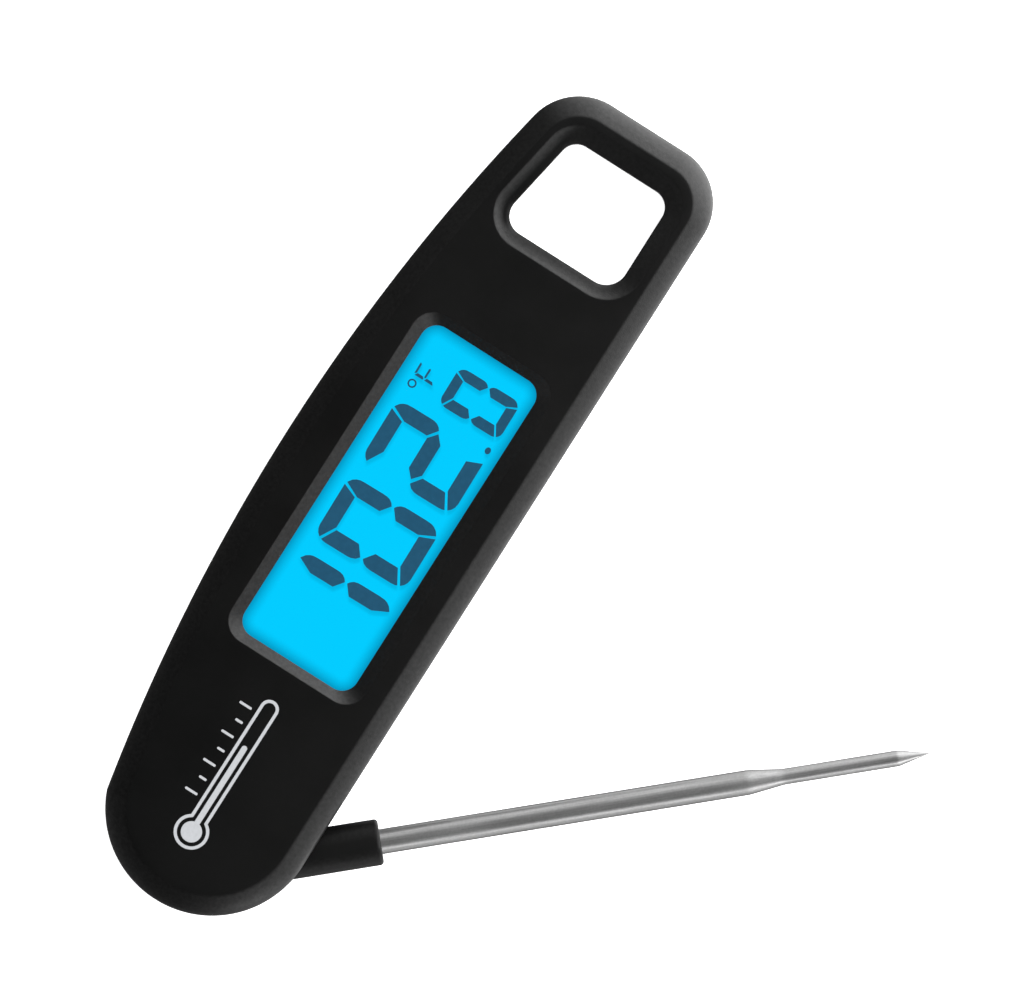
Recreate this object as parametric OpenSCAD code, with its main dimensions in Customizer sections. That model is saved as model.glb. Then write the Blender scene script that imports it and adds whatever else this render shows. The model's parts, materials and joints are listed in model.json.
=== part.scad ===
// Folding meat thermometer. +Z comes out of the display face, +Y runs towards the hanging hole,
// +X is the straight side that the probe folds into. The origin is on the flat back.

/* [Body] */
// Length of the body
body_l = 140.8; // [140:0.2:142]
// Width of the body
body_w = 38; // [38:0.1:39]
// Thickness of the body
body_t = 17.4; // [17.4:0.1:18.4]
// Wall thickness
wall = 2; // [1.9:0.1:2.1]
// Width of the bevel round the front
bevel_w = 3.1; // [2.4:0.1:3.2]
// Radius of the bowed side
side_r = 311; // [300:1:320]
// Radius of the rounded hinge end
end_r = 16.5; // [16.4:0.1:16.6]

/* [Hanging hole] */
// Bottom edge of the hole
hole_low_y = 46.1; // [46:0.1:47]
// Top edge of the hole
hole_top_y = 63; // [62.4:0.1:63.4]
// Straight right edge of the hole
hole_right_x = 12.05; // [11.6:0.05:12.1]
// Width of the dish round the hole
dish_w = 2.7; // [2.4:0.1:2.8]
// Depth of the dish round the hole
dish_h = 0.7; // [0.6:0.1:1.6]

/* [Display] */
// Width of the visible window
window_w = 20.4; // [19.6:0.1:20.6]
// Length of the visible window
window_l = 56.1; // [55:0.1:56.4]
// Depth of the sloping surround
surround_h = 1.3; // [1:0.1:1.4]

/* [Probe] */
// Diameter of the needle's shank
shank_d = 3.9; // [3.6:0.1:4]
// Diameter of the needle's reduced tip
tip_d = 2.5; // [2.4:0.1:2.7]
// Distance from the hinge to the needle's point
probe_reach = 101.9; // [98:0.1:102.2]
// Distance from the hinge to the end of the arm
arm_reach = 16.2; // [15.8:0.1:16.4]
// Width of the arm
arm_w = 7.2; // [6.8:0.1:7.3]
// Angle of the probe away from the +X direction
probe_angle = 41.6; // [-88:0.1:88]

/* [Hidden] */
$fn = 48;
eps = 0.1; // overshoot of a cut
far = 100; // reach of a cut that leaves the body

// Colours
black_plastic = [0.05, 0.05, 0.05];
dark_rubber = [0.12, 0.12, 0.12];
steel = [0.7, 0.7, 0.7];
brass_yellow = [0.8, 0.65, 0.3];
board_green = [0.05, 0.3, 0.12];
light_blue = [0, 0.8, 1];

// Heights from the back face
part_z = 8.4; // where the covers meet, and the needle's axis
roof_z = body_t - 1.8; // inside of the front wall
floor_z = 1.8; // inside of the back wall
board_low = 8.6;
board_top = 9.6;
glass_low = 12.3;
glass_top = 14.2;
lens_low = roof_z - 1.2;
lens_top = roof_z - 0.2;

// Pocket of the arm and slot of the needle, both open on the +X side
pivot = [15, -55.1];
arm_t = 8;
arm_gap = 0.4;
pocket_low = part_z - arm_t / 2 - arm_gap;
pocket_top = part_z + arm_t / 2 + arm_gap;
pocket_x = pivot.x - arm_w / 2 - arm_gap;
pocket_y = pivot.y + norm([arm_reach, arm_w / 2]) + 0.3;
slot_low = part_z - 2.5;
slot_top = part_z + 2.5;
slot_x = pivot.x - shank_d / 2 - 0.35;
slot_y = pivot.y + probe_reach + 1;

// Hinge
trunnion_r = 1.95;
hinge_play = 0.05;
bushing_r = 2.7;
bushing_fit = 0.02;
flange_r = 3.4;
flange_t = 0.35;
bushing_top = 13.8;
seal_top = 14.4;
trunnion_top = 14.6;
trunnion_low = 1.9;
lead_bore_r = 1.1;
bore_top = body_t - 1.6;
bore_low = 1.6;

// Needle
neck_start = probe_reach - 28.4;
neck_end = probe_reach - 22.8;
point_start = probe_reach - 5;
tube_start = 9.2;
tube_wall = 0.4;
grip_r = shank_d / 2 - 0.25; // the end in the arm tapers to this, so that it cannot pull out
shoulder = arm_reach + 0.3; // where the full shank begins
lead_r = 0.3;
lead_pitch = 0.9;

// Battery and its door
battery_at = [-2.5, 19];
battery_r = 10;
battery_t = 3.2;
battery_low = 3.15;
cup_r = 13.4;
cup_top = 6.6;
door_r = 12.3;
door_lip_z = 1.4;
plug_r = 10.8;
lug_r = 11.9;
lug_low = 2.25;
lug_top = 2.95;
lugs = 3;
door_play = 0.15;

// Button
button_at = [-0.5, -14];
button_r = 3.4;
button_flange_r = 4.4;
button_play = 0.1;

// Screws
screw_at = [[3, 66.8], [-13.2, 38.5], [-12.6, -37.5], [2, -65], [8.2, 40.4]];
screw_r = 1;
screw_head_r = 1.9;
boss_r = 2.5;
board_screw_at = [[-8.4, 35.2], [8.8, 35.2], [-6, -36.6], [6.6, -36.6]];
board_screw_r = 0.7;
post_r = 1.8;

// Points along an arc
function arc(c, r, a0, a1, n) =
    [for (i = [0:n]) c + r * [cos(a0 + (a1 - a0) * i / n), sin(a0 + (a1 - a0) * i / n)]];

// Where two circles cross, on the right of the line from the first centre to the second
function circles_meet(c1, r1, c2, r2) =
    let (d = norm(c2 - c1), u = (c2 - c1) / d, a = (r1 * r1 - r2 * r2 + d * d) / (2 * d))
    c1 + a * u + sqrt(r1 * r1 - a * a) * [u.y, -u.x];

// A closed anticlockwise outline moved inwards by d, or outwards by a negative d
function inset(pts, d) =
    let (n = len(pts))
    [for (i = [0:n - 1])
        let (a = pts[(i + n - 1) % n], b = pts[i], c = pts[(i + 1) % n])
        let (u = (b - a) / norm(b - a), v = (c - b) / norm(c - b))
        let (nu = [-u.y, u.x], nv = [-v.y, v.x])
        b + (nu + nv) * d / (1 + nu * nv)];

// The arc that rounds corner b of an anticlockwise convex outline
function corner(a, b, c, r, n) =
    let (u = (a - b) / norm(a - b), v = (c - b) / norm(c - b), half = acos(u * v) / 2)
    let (m = (u + v) / norm(u + v), centre = b + m * r / sin(half))
    let (from = b + u * r / tan(half) - centre, start = atan2(from.y, from.x))
    arc(centre, r, start, start + 180 - 2 * half, n);

// A convex outline with each corner rounded by its own radius
function rounded(pts, radii, n) =
    let (m = len(pts))
    [for (i = [0:m - 1]) each corner(pts[(i + m - 1) % m], pts[i], pts[(i + 1) % m], radii[i], n)];

function box_points(x0, y0, x1, y1) = [[x0, y0], [x1, y0], [x1, y1], [x0, y1]];

function ring(pts, z) = [for (p = pts) [p.x, p.y, z]];

// Outline of the body: round hinge end, straight side, two top corners, bowed side
top_r = 9.2;
top_left_r = 9.5;
half_w = body_w / 2;
half_l = body_l / 2;
bow_c = [side_r - half_w, 1.7];
end_c = [half_w - end_r, end_r - half_l];
top_left_y = half_l - top_left_r;
top_left_c = [bow_c.x - sqrt(pow(side_r - top_left_r, 2) - pow(top_left_y - bow_c.y, 2)), top_left_y];
kink = circles_meet(end_c, end_r, bow_c, side_r);
kink_angle = atan2(kink.y - end_c.y, kink.x - end_c.x);
bow_start = atan2(top_left_c.y - bow_c.y, top_left_c.x - bow_c.x);
bow_end = 360 + atan2(kink.y - bow_c.y, kink.x - bow_c.x);
outline = concat(
    arc(end_c, end_r, kink_angle, 0, 26),
    arc([half_w - top_r, half_l - top_r], top_r, 0, 90, 12),
    arc(top_left_c, top_left_r, 90, bow_start, 12),
    [for (p = arc(bow_c, side_r, bow_start, bow_end, 24)) if (norm(p - kink) > 0.5
        && norm(p - top_left_c) > top_left_r + 0.1) p]);

// Bevel at the front, as steps inwards and heights, from the parting plane up
front_edge = [[0, part_z], [0, body_t - 3.5], [0.12, body_t - 2.5], [0.42, body_t - 1.7],
    [0.95, body_t - 1.1], [bevel_w, body_t]];
// Rounded edge at the back, from the back face up to the parting plane
back_edge = [[2.2, 0], [1, 0.45], [0.35, 1.1], [0.08, 2], [0, 3], [0, part_z]];

// Hanging hole, with its dish from the bottom up
hole_lean = 0.18; // how far the left edge leans for each unit of height
hole_left_x = -8.95;
hole = rounded([[hole_left_x, hole_low_y], [hole_right_x, hole_low_y], [hole_right_x, hole_top_y],
    [hole_left_x + hole_lean * (hole_top_y - hole_low_y), hole_top_y]], [3.2, 3.5, 2.85, 2.8], 8);
dish = [[0, part_z - eps], [0, body_t - dish_h - 0.1], [0.1, body_t - dish_h],
    [dish_w * 0.3, body_t - dish_h * 0.9], [dish_w * 0.6, body_t - dish_h * 0.6],
    [dish_w * 0.85, body_t - dish_h * 0.3], [dish_w, body_t], [dish_w, body_t + 1]];
dish_shift = [0, 0.35]; // the dish is wider towards the top end
dish_rings = [for (s = dish) ring([for (p = inset(hole, -s[0])) p + dish_shift * s[0] / dish_w], s[1])];
hole_back = [[1.4, -eps], [1.2, 0], [0.5, 0.35], [0.1, 1], [0, 1.6], [0, part_z + eps]];

// Window and its sloping surround
window_c = [0.69, -0.23];
window_r = 2.7;
surround_c = [0.75, -0.2];
surround_w = window_w + 4.3;
surround_l = window_l + 3.5;
surround_r = 3.7;

function centred_box(c, w, l, r) =
    rounded(box_points(c.x - w / 2, c.y - l / 2, c.x + w / 2, c.y + l / 2), [r, r, r, r], 6);

// A solid through closed rings that have the same number of points, lowest ring first
module loft(rings) {
    n = len(rings[0]);
    m = len(rings);
    sides = [for (k = [0:m - 2]) for (i = [0:n - 1]) let (j = (i + 1) % n)
        each [[k * n + i, (k + 1) * n + i, (k + 1) * n + j], [k * n + i, (k + 1) * n + j, k * n + j]]];
    polyhedron(
        points = [for (r = rings) each r],
        faces = concat([[for (i = [0:n - 1]) i]], sides, [[for (i = [n - 1:-1:0]) (m - 1) * n + i]]));
}

module loft_steps(pts, steps, way = 1) {
    loft([for (s = steps) ring(inset(pts, way * s[0]), s[1])]);
}

module slab(z0, z1) {
    translate([0, 0, z0]) linear_extrude(z1 - z0) children();
}

module block(x0, x1, y0, y1, z0, z1) {
    translate([x0, y0, z0]) cube([x1 - x0, y1 - y0, z1 - z0]);
}

module rod(at, r, z0, z1) {
    translate([at.x, at.y, z0]) cylinder(h = z1 - z0, r = r);
}

module tube_ring(at, r_in, r_out, z0, z1) {
    difference() {
        rod(at, r_out, z0, z1);
        rod(at, r_in, z0 - eps, z1 + eps);
    }
}

// A round wire along straight stretches, with a ball at each bend
module wire(pts, r) {
    for (i = [0:len(pts) - 2]) {
        d = pts[i + 1] - pts[i];
        translate(pts[i])
            rotate([0, acos(d.z / norm(d)), atan2(d.y, d.x)])
                cylinder(h = norm(d), r = r, $fn = 24);
    }
    for (i = [1:1:len(pts) - 2]) translate(pts[i]) sphere(r = r, $fn = 24);
}

// Places children at the probe: their X runs out along the needle and their Z = 0 is its axis
module at_probe() {
    translate([pivot.x, pivot.y, part_z]) rotate([0, 0, probe_angle]) children();
}

// A flat cross for a screwdriver
module cross_recess(r, z0, z1) {
    for (a = [0, 90]) rotate([0, 0, a]) block(-r, r, -0.2, 0.2, z0, z1);
}

// Plan of the dry space for the electronics, grown outwards by g
module dry_space(g = 0) {
    intersection() {
        polygon(inset(outline, wall - g));
        union() {
            polygon(box_points(-half_w, pocket_y + 1.2 - g, slot_x - 1.5 + g, 41.5 + g));
            polygon(box_points(-half_w, -half_l, pocket_x - 1.5 + g, 41.5 + g));
        }
    }
}

// Plan of the hollow in the frame round the hanging hole
module loop_hollow() {
    difference() {
        polygon(inset(outline, wall));
        polygon(inset(hole, -1.9));
        polygon(box_points(-far, -far, far, 44.3));
        polygon(box_points(11, 40, far, 49.2));
    }
}

// Space of the folded arm and needle
module probe_space() {
    block(pocket_x, far, -far, pocket_y, pocket_low, pocket_top);
    block(slot_x, far, pocket_y - 1, slot_y, slot_low, slot_top);
}

// Housing

module front_cover() color(black_plastic) {
    difference() {
        union() {
            difference() {
                loft_steps(outline, front_edge);
                slab(part_z - eps, roof_z) dry_space();
                slab(part_z - eps, body_t - 4) loop_hollow();
            }
            for (p = screw_at) rod(p, boss_r, part_z, p.y > 45 ? body_t - 3.9 : roof_z + eps);
            for (p = board_screw_at) rod(p, post_r, board_top, roof_z + eps);
        }
        loft(dish_rings);
        loft([ring(centred_box(window_c, window_w, window_l, window_r), body_t - surround_h),
            ring(centred_box(surround_c, surround_w, surround_l, surround_r), body_t),
            ring(centred_box(surround_c, surround_w, surround_l, surround_r), body_t + 1)]);
        slab(roof_z - eps, body_t) polygon(centred_box(window_c, window_w, window_l, window_r));
        block(-11.5, 12.9, -31.8, 30.6, 12.1, roof_z);
        probe_space();
        rod(pivot, bushing_r, pocket_top - eps, bore_top);
        block(8, pivot.x, pivot.y - 0.8, pivot.y + 0.8, pocket_top - eps, bore_top);
        for (p = screw_at) rod(p, screw_r + 0.02, part_z - eps, body_t - 4.4);
        for (p = board_screw_at) rod(p, board_screw_r + 0.02, board_top - eps, 13);
    }
}

module back_cover() color(black_plastic) {
    door_entry = 26; // angle from a locked lug to its way out
    difference() {
        union() {
            difference() {
                loft_steps(outline, back_edge);
                slab(floor_z, part_z + eps) dry_space();
                slab(floor_z + 0.2, part_z + eps) loop_hollow();
            }
            for (p = screw_at) rod(p, boss_r, floor_z - eps, part_z);
            rod(battery_at, cup_r, floor_z - eps, cup_top);
            tube_ring(button_at, button_flange_r + button_play, 5.6, floor_z - eps, 3.6);
        }
        loft_steps(hole, hole_back, -1);
        probe_space();
        rod(pivot, bushing_r, bore_low, pocket_low + eps);
        slab(part_z - 0.7, part_z + eps) difference() {
            dry_space(0.85);
            dry_space(0.35);
        }
        for (p = screw_at) {
            rod(p, screw_r + 0.15, -eps, part_z + eps);
            rod(p, screw_head_r + 0.2, -eps, 2.4);
        }
        rod(button_at, button_r + button_play, -eps, floor_z + eps);
        rod(battery_at, door_r + door_play, -eps, door_lip_z);
        rod(battery_at, plug_r + door_play, -eps, lug_top + 0.05);
        rod(battery_at, lug_r + door_play, lug_low - 0.05, lug_top + 0.05);
        rod(battery_at, battery_r + 0.3, lug_low, cup_top + eps);
        for (i = [0:lugs - 1]) translate([battery_at.x, battery_at.y, 0])
            rotate([0, 0, i * 360 / lugs - door_entry - 12])
                slab(door_lip_z - eps, lug_low) wedge(lug_r + door_play / 2, 24);
        block(battery_at.x + battery_r - 0.5, battery_at.x + battery_r + 1.4,
            battery_at.y - 2.6, battery_at.y + 2.6, 3.4, cup_top + eps);
    }
}

// A pie slice that starts at the +X direction
module wedge(r, a) {
    polygon(concat([[0, 0]], arc([0, 0], r, 0, a, 6)));
}

module housing_seal() color(dark_rubber) {
    slab(part_z - 0.7, part_z) difference() {
        dry_space(0.85);
        dry_space(0.35);
    }
}

module cover_screws() color(steel) {
    for (p = screw_at) translate([p.x, p.y, 0]) difference() {
        union() {
            rod([0, 0], screw_head_r, 0.9, 2.4);
            rod([0, 0], screw_r, 2.4, body_t - 4.9);
        }
        cross_recess(1.2, 0.8, 1.7);
    }
}

// Display

module display_window() color([0.8, 0.9, 0.95, 0.4]) {
    slab(lens_low, lens_top) polygon(centred_box(window_c, window_w + 3.6, window_l + 3.6, 2));
}

module window_adhesive() color(dark_rubber) {
    slab(lens_top, roof_z) difference() {
        polygon(centred_box(window_c, window_w + 3.4, window_l + 3.4, 2));
        polygon(centred_box(window_c, window_w + 0.8, window_l + 0.8, 2.6));
    }
}

module lcd_glass() color(light_blue) {
    block(-10.6, 12.3, -31.4, 30, glass_low, glass_low + 0.9);
    block(-10.6, 12.3, -29.6, 30, glass_low + 0.9, glass_top);
}

module display_frame() color("white") {
    difference() {
        block(-11.3, 11, -29.3, 29.3, board_top, glass_low);
        block(-10.7, 10.5, -28.7, 28.7, board_top - eps, glass_low + eps);
    }
}

module backlight_panel() color([0.9, 0.95, 1]) {
    difference() {
        block(-10.6, 10.4, -28.6, 27.6, board_top + 0.4, glass_low - 0.2);
        for (x = [-6.2, 0, 6.2]) block(x - 1.7, x + 1.7, 26, 28, board_top, glass_low);
    }
}

module backlight_leds() color("lightyellow") {
    for (x = [-6.2, 0, 6.2]) {
        block(x - 1.5, x + 1.5, 26.2, 27.4, board_top, board_top + 1.8);
        block(x - 0.9, x + 0.9, 26.05, 26.2, board_top + 0.4, board_top + 1.5);
    }
}

module zebra_strip() color("pink") {
    block(-9.4, 10.4, -31.2, -29.8, board_top, glass_low);
}

// Electronics

module circuit_board() color(board_green) {
    slab(board_low, board_top) difference() {
        union() {
            polygon(box_points(-10.4, -34.5, 10.9, 37.4));
            polygon(box_points(-8.2, -58, 8.6, -34.4));
        }
        for (p = board_screw_at) translate(p) circle(r = board_screw_r + 0.1);
    }
}

module processor_blob() color("black") {
    // A low dome of resin under the board
    translate([3, -27, board_low]) rotate([180, 0, 0]) rotate_extrude()
        polygon([[0, 0], [4.6, 0], [4.3, 0.4], [3.4, 0.9], [2, 1.2], [0, 1.3]]);
}

module crystal() color(steel) {
    translate([-6.5, -31, board_low - 1.1]) rotate([-90, 0, 0]) cylinder(h = 6, r = 1);
    for (x = [-6.9, -6.1]) block(x - 0.15, x + 0.15, -31.8, -31, board_low - 1.25, board_low);
}

module board_components() color("tan") {
    for (i = [0:4]) block(-9, -7.4, -22 + 3.4 * i, -21.2 + 3.4 * i, board_low - 0.8, board_low);
    for (i = [0:3]) block(6.6, 8.2, -19 + 3 * i, -18 + 3 * i, board_low - 0.9, board_low);
    for (x = [-3, 1]) block(x, x + 3.2, -46, -44.4, board_low - 1.6, board_low);
}

module reed_switch() color([0.6, 0.8, 0.7]) {
    reed_x = 7;
    reed_z = board_top + 1.2;
    translate([reed_x, -51, reed_z]) rotate([-90, 0, 0]) cylinder(h = 10, r = 0.9);
    wire([[reed_x, -52.6, board_top], [reed_x, -52.6, reed_z], [reed_x, -51.1, reed_z]], 0.25);
    wire([[reed_x, -39.4, board_top], [reed_x, -39.4, reed_z], [reed_x, -40.9, reed_z]], 0.25);
}

module board_screws() color(steel) {
    for (p = board_screw_at) translate([p.x, p.y, 0]) difference() {
        union() {
            rod([0, 0], 1.4, board_low - 1, board_low);
            rod([0, 0], board_screw_r, board_low, 12.6);
        }
        cross_recess(0.9, board_low - 1.1, board_low - 0.5);
    }
}

module housing_leads() color("red") {
    for (s = [-0.5, 0.5]) {
        y = pivot.y + s * lead_pitch;
        wire([[pivot.x, y, 15.2], [6.8, y, 15.2], [6.8, y, board_top]], lead_r);
    }
}

// Battery

module battery() color(steel) {
    translate([battery_at.x, battery_at.y, battery_low]) rotate_extrude()
        polygon([[0, 0], [9.6, 0], [battery_r, 0.4], [battery_r, 2.7], [9.4, 2.7], [9.2, 2.9],
            [8.8, 2.9], [8.8, battery_t], [0, battery_t]]);
}

module battery_contact_negative() color(brass_yellow) {
    // A bent strip from the board down to the middle of the cell
    top = battery_low + battery_t;
    translate([0, battery_at.y + 2, 0]) rotate([90, 0, 0]) linear_extrude(4)
        polygon([[-9.6, board_low], [-9.6, board_low - 0.3], [-6.6, board_low - 0.3],
            [-2.6, top], [-0.6, top], [-0.2, top + 0.5], [-0.5, top + 0.6], [-0.8, top + 0.3],
            [-2.4, top + 0.3], [-6.4, board_low]]);
}

module battery_contact_positive() color(brass_yellow) {
    // A strip that bears on the cell's rim
    rim = battery_at.x + battery_r;
    block(rim + 0.02, rim + 0.32, battery_at.y - 2, battery_at.y + 2, 3.8, board_low - 0.3);
    block(rim + 0.02, rim + 2.6, battery_at.y - 2, battery_at.y + 2, board_low - 0.3, board_low);
}

module battery_door() color(black_plastic) {
    translate([battery_at.x, battery_at.y, 0]) difference() {
        union() {
            rod([0, 0], door_r, 0.1, door_lip_z - 0.3);
            rod([0, 0], plug_r, door_lip_z - 0.35, lug_top);
            for (i = [0:lugs - 1]) rotate([0, 0, i * 360 / lugs - 10])
                slab(lug_low, lug_top) wedge(lug_r, 20);
        }
        block(-6.5, 6.5, -0.9, 0.9, -eps, 0.9);
    }
}

module battery_door_seal() color(dark_rubber) {
    tube_ring(battery_at, 11.15, 12, door_lip_z - 0.3, door_lip_z);
}

// Button on the back

module unit_button() color(dark_rubber) {
    difference() {
        union() {
            rod(button_at, button_r, 0.35, floor_z + 0.1);
            rod(button_at, button_flange_r, floor_z + 0.05, 2.5);
            rod(button_at, 1.5, 2.5, 6.1);
        }
        tube_ring(button_at, 1.7, 2.1, 0, 0.55);
    }
}

module switch_plunger() color("white") {
    rod(button_at, 1.1, 6.1, 7.6);
}

module tact_switch() color(steel) {
    difference() {
        block(button_at.x - 2.4, button_at.x + 2.4, button_at.y - 2.4, button_at.y + 2.4, 7, board_low);
        rod(button_at, 1.2, 7 - eps, 8.25);
    }
}

// Probe

module arm_plan() {
    end_corner = 0.6;
    w = arm_w / 2;
    union() {
        circle(r = w, $fn = 64);
        polygon(concat([[0, w], [0, -w]],
            arc([arm_reach - end_corner, end_corner - w], end_corner, -90, 0, 4),
            arc([arm_reach - end_corner, w - end_corner], end_corner, 0, 90, 4)));
    }
}

module needle_bore() {
    long = shoulder - tube_start - 0.8;
    rise = (shank_d / 2 - 0.03 - grip_r) / long;
    translate([tube_start - 0.2, 0, 0]) rotate([0, 90, 0])
        cylinder(h = long + 2, r1 = grip_r + 0.02 - rise, r2 = grip_r + 0.02 + rise * (long + 1));
    translate([tube_start - 0.2, 0, 0]) rotate([0, 90, 0]) cylinder(h = 1, r = 2.52);
}

module lead_space() {
    block(-1, tube_start, -1.5, 1.5, -1.2, 1.5);
}

module probe_arm_front() color(black_plastic) {
    half = arm_t / 2;
    at_probe() difference() {
        union() {
            slab(0, half - 0.9) arm_plan();
            intersection() {
                slab(half - 1, half) arm_plan();
                arm_crown(half);
            }
            rod([0, 0], trunnion_r, half - eps, trunnion_top - part_z);
        }
        needle_bore();
        lead_space();
        rod([0, 0], lead_bore_r, -eps, far);
    }
}

// A low ridge along the arm that rounds its edges down
module arm_crown(half) {
    w = arm_w / 2;
    translate([-w - 1, 0, 0]) rotate([90, 0, 90]) linear_extrude(arm_reach + w + 2)
        polygon([[-w, half - 1.1], [w, half - 1.1], [w, half - 0.9], [w - 0.25, half - 0.4],
            [w - 0.9, half], [0.9 - w, half], [0.25 - w, half - 0.4], [-w, half - 0.9]]);
}

module probe_arm_rear() color(black_plastic) {
    half = arm_t / 2;
    at_probe() difference() {
        union() {
            slab(0.9 - half, 0) arm_plan();
            mirror([0, 0, 1]) intersection() {
                slab(half - 1, half) arm_plan();
                arm_crown(half);
            }
            rod([0, 0], trunnion_r, trunnion_low - part_z, eps - half);
        }
        needle_bore();
        lead_space();
        rod([5, 0], 1.55, -3.4, 0);
    }
}

module probe_tube() color(steel) {
    r = shank_d / 2;
    q = tip_d / 2;
    at_probe() rotate([0, 90, 0]) rotate_extrude()
        polygon([[grip_r - tube_wall, tube_start], [2.5, tube_start], [2.5, tube_start + 0.4],
            [grip_r, tube_start + 0.8], [r - 0.03, shoulder - 0.05], [r, shoulder], [r, neck_start],
            [q, neck_end], [q, point_start], [0, probe_reach], [0, probe_reach - 2],
            [q - 0.3, point_start - 1], [q - 0.3, neck_end], [r - tube_wall, neck_start],
            [r - tube_wall, shoulder]]);
}

module thermistor() color("black") {
    at_probe() {
        translate([probe_reach - 8, 0, 0]) rotate([0, 90, 0]) cylinder(h = 1.6, r = 0.6);
    }
}

module sensor_potting() color("ivory") {
    at_probe() difference() {
        translate([probe_reach - 10, 0, 0]) rotate([0, 90, 0])
            cylinder(h = 4, r = tip_d / 2 - 0.32);
        translate([probe_reach - 8, 0, 0]) rotate([0, 90, 0]) cylinder(h = 1.6, r = 0.6);
        for (s = [-0.5, 0.5]) translate([probe_reach - 11, s * lead_pitch, 0]) rotate([0, 90, 0])
            cylinder(h = 3, r = lead_r);
    }
}

module probe_leads() color("red") {
    lead_end = probe_reach - 8;
    at_probe() for (s = [-0.5, 0.5]) {
        y = s * lead_pitch;
        wire([[lead_end, y, 0], [0, y, 0], [0, y, trunnion_top - part_z - 0.2]], lead_r);
    }
}

module hinge_magnet() color("silver") {
    at_probe() rod([5, 0], 1.5, -3.4, -1.4);
}

// Hinge

module hinge_bushing_front() color("ivory") {
    tube_ring(pivot, trunnion_r + hinge_play, flange_r, pocket_top - flange_t, pocket_top);
    tube_ring(pivot, trunnion_r + hinge_play, bushing_r - bushing_fit, pocket_top, bushing_top);
}

module hinge_bushing_rear() color("ivory") {
    tube_ring(pivot, trunnion_r + hinge_play, bushing_r - bushing_fit, floor_z, pocket_low);
}

module hinge_seal() color(dark_rubber) {
    tube_ring(pivot, trunnion_r + hinge_play, bushing_r - bushing_fit, bushing_top, seal_top);
}

module friction_washer() color(steel) {
    tube_ring(pivot, trunnion_r + 0.1, flange_r, pocket_low, pocket_low + flange_t);
}

front_cover();
back_cover();
housing_seal();
cover_screws();
display_window();
window_adhesive();
lcd_glass();
backlight_panel();
backlight_leds();
display_frame();
zebra_strip();
circuit_board();
processor_blob();
crystal();
board_components();
reed_switch();
board_screws();
battery();
battery_contact_positive();
battery_contact_negative();
battery_door();
battery_door_seal();
unit_button();
switch_plunger();
tact_switch();
probe_arm_front();
probe_arm_rear();
probe_tube();
thermistor();
sensor_potting();
probe_leads();
hinge_magnet();
hinge_bushing_front();
hinge_bushing_rear();
hinge_seal();
friction_washer();
housing_leads();
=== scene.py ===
"""Looks of the folding meat thermometer. Lengths are in millimetres until a mesh is made.

The frame has its origin on the flat back, +Z out of the display face, +Y towards the hanging
hole and +X towards the straight side that the needle folds into.
"""
import json
import math

import bmesh
import bpy
from mathutils import Matrix, Vector


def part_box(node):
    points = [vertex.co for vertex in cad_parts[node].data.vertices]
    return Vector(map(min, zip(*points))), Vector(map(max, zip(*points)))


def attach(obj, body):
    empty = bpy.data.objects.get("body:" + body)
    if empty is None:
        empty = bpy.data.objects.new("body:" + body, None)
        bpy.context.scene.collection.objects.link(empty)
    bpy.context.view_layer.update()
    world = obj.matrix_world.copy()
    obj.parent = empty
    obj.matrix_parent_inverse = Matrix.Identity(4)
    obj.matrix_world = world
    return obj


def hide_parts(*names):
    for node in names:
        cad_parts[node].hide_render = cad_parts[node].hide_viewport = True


MM = 0.001


def smooth(t):
    """A smooth step from 0 at t = 0 to 1 at t = 1."""
    t = max(0.0, min(1.0, t))
    return t * t * (3 - 2 * t)


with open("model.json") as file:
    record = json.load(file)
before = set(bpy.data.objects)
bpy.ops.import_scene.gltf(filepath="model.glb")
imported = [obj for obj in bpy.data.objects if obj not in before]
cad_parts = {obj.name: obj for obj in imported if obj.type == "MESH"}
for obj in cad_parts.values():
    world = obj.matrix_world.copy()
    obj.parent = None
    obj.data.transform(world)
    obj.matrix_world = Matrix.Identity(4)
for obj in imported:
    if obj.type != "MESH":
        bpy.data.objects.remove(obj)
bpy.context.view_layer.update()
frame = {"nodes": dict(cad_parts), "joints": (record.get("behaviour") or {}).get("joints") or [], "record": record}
nodes = frame["nodes"]


def box_mm(node):
    low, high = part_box(node)
    return low / MM, high / MM


# ---------------------------------------------------------------- driving sizes, from the frame

front_low, front_high = box_mm("front_cover")
half_w = front_high.x
half_l = front_high.y
parting = front_low.z
face_z = front_high.z
hinge = {j["name"]: j for j in frame["joints"]}["probe_hinge"]
pivot = Vector(hinge["pos_m"]) / MM
stem = next(m for m in frame["record"]["mounts"] if m["name"] == "probe_stem")
stem_dir = Vector(stem["axis"])

PRINT_H = 0.015  # the printed ink stands in this much room under the CAD face
cover_top = face_z - PRINT_H


# ---------------------------------------------------------------- outlines

def arc(cx, cy, r, start, end, steps):
    turn = [math.radians(start + (end - start) * i / steps) for i in range(steps + 1)]
    return [Vector((cx + r * math.cos(t), cy + r * math.sin(t))) for t in turn]


def inset(points, d):
    """An anticlockwise outline moved inwards by d, or outwards by a negative d."""
    out = []
    for i, b in enumerate(points):
        u = (b - points[i - 1]).normalized()
        v = (points[(i + 1) % len(points)] - b).normalized()
        nu, nv = Vector((-u.y, u.x)), Vector((-v.y, v.x))
        out.append(b + (nu + nv) * (d / (1 + nu.dot(nv))))
    return out


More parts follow.
